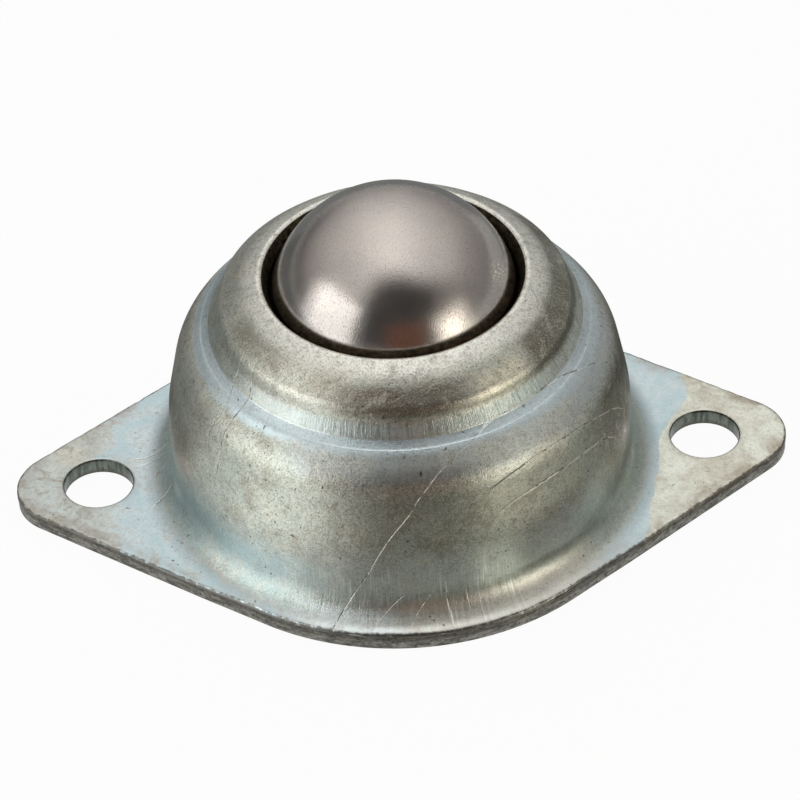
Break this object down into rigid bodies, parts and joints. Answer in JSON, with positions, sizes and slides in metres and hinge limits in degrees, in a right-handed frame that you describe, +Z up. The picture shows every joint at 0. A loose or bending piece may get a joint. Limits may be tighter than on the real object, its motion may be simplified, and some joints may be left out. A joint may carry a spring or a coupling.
{
  "type": "ball transfer unit",
  "caption": "Ball transfer unit: a steel load ball on small bearing balls, held in a stepped, pressed steel housing with a two-hole flange.",
  "frame": {"origin": "centre of the mounting face under the flange, on the vertical axis of the ball", "axes": "+Z up out of the mounting face through the ball, +X along the line of the two fixing holes"},
  "size_m": [0.0698, 0.0456, 0.0306],
  "materials": {
    "housing_zinc": "zinc plated pressed sheet, dull and mottled, with scratches, draw marks and stains",
    "load_ball_steel": "polished steel with very fine scratches",
    "cup_steel": "hardened, dark, satin",
    "cap_zinc": "zinc plated pressed sheet, satin",
    "bearing_ball_steel": "polished steel"
  },
  "bodies": {
    "housing_assembly": {"housing": "housing_zinc", "ball_cup": "cup_steel", "closing_cap": "cap_zinc"},
    "bearing_balls": {"bearing_ball_1": "bearing_ball_steel", "bearing_ball_2": "bearing_ball_steel", "bearing_ball_3": "bearing_ball_steel", "bearing_ball_4": "bearing_ball_steel", "bearing_ball_5": "bearing_ball_steel", "bearing_ball_6": "bearing_ball_steel", "bearing_ball_7": "bearing_ball_steel", "bearing_ball_8": "bearing_ball_steel", "bearing_ball_9": "bearing_ball_steel", "bearing_ball_10": "bearing_ball_steel", "bearing_ball_11": "bearing_ball_steel", "bearing_ball_12": "bearing_ball_steel", "bearing_ball_13": "bearing_ball_steel", "bearing_ball_14": "bearing_ball_steel", "bearing_ball_15": "bearing_ball_steel", "bearing_ball_16": "bearing_ball_steel", "bearing_ball_17": "bearing_ball_steel", "bearing_ball_18": "bearing_ball_steel", "bearing_ball_19": "bearing_ball_steel", "bearing_ball_20": "bearing_ball_steel", "bearing_ball_21": "bearing_ball_steel", "bearing_ball_22": "bearing_ball_steel", "bearing_ball_23": "bearing_ball_steel", "bearing_ball_24": "bearing_ball_steel", "bearing_ball_25": "bearing_ball_steel", "bearing_ball_26": "bearing_ball_steel", "bearing_ball_27": "bearing_ball_steel", "bearing_ball_28": "bearing_ball_steel", "bearing_ball_29": "bearing_ball_steel", "bearing_ball_30": "bearing_ball_steel", "bearing_ball_31": "bearing_ball_steel", "bearing_ball_32": "bearing_ball_steel", "bearing_ball_33": "bearing_ball_steel", "bearing_ball_34": "bearing_ball_steel", "bearing_ball_35": "bearing_ball_steel", "bearing_ball_36": "bearing_ball_steel", "bearing_ball_37": "bearing_ball_steel", "bearing_ball_38": "bearing_ball_steel", "bearing_ball_39": "bearing_ball_steel"},
    "load_ball": {"load_ball": "load_ball_steel"}
  },
  "joints": [
    {"name": "bearing_orbit", "type": "hinge", "parent": "housing_assembly", "child": "bearing_balls", "pos_m": [0, 0, 0.01955], "axis": [0, 0, 1], "continuous": true},
    {"name": "load_ball_roll", "type": "hinge", "parent": "bearing_balls", "child": "load_ball", "pos_m": [0, 0, 0.01955], "axis": [0, 1, 0], "continuous": true}
  ]
}
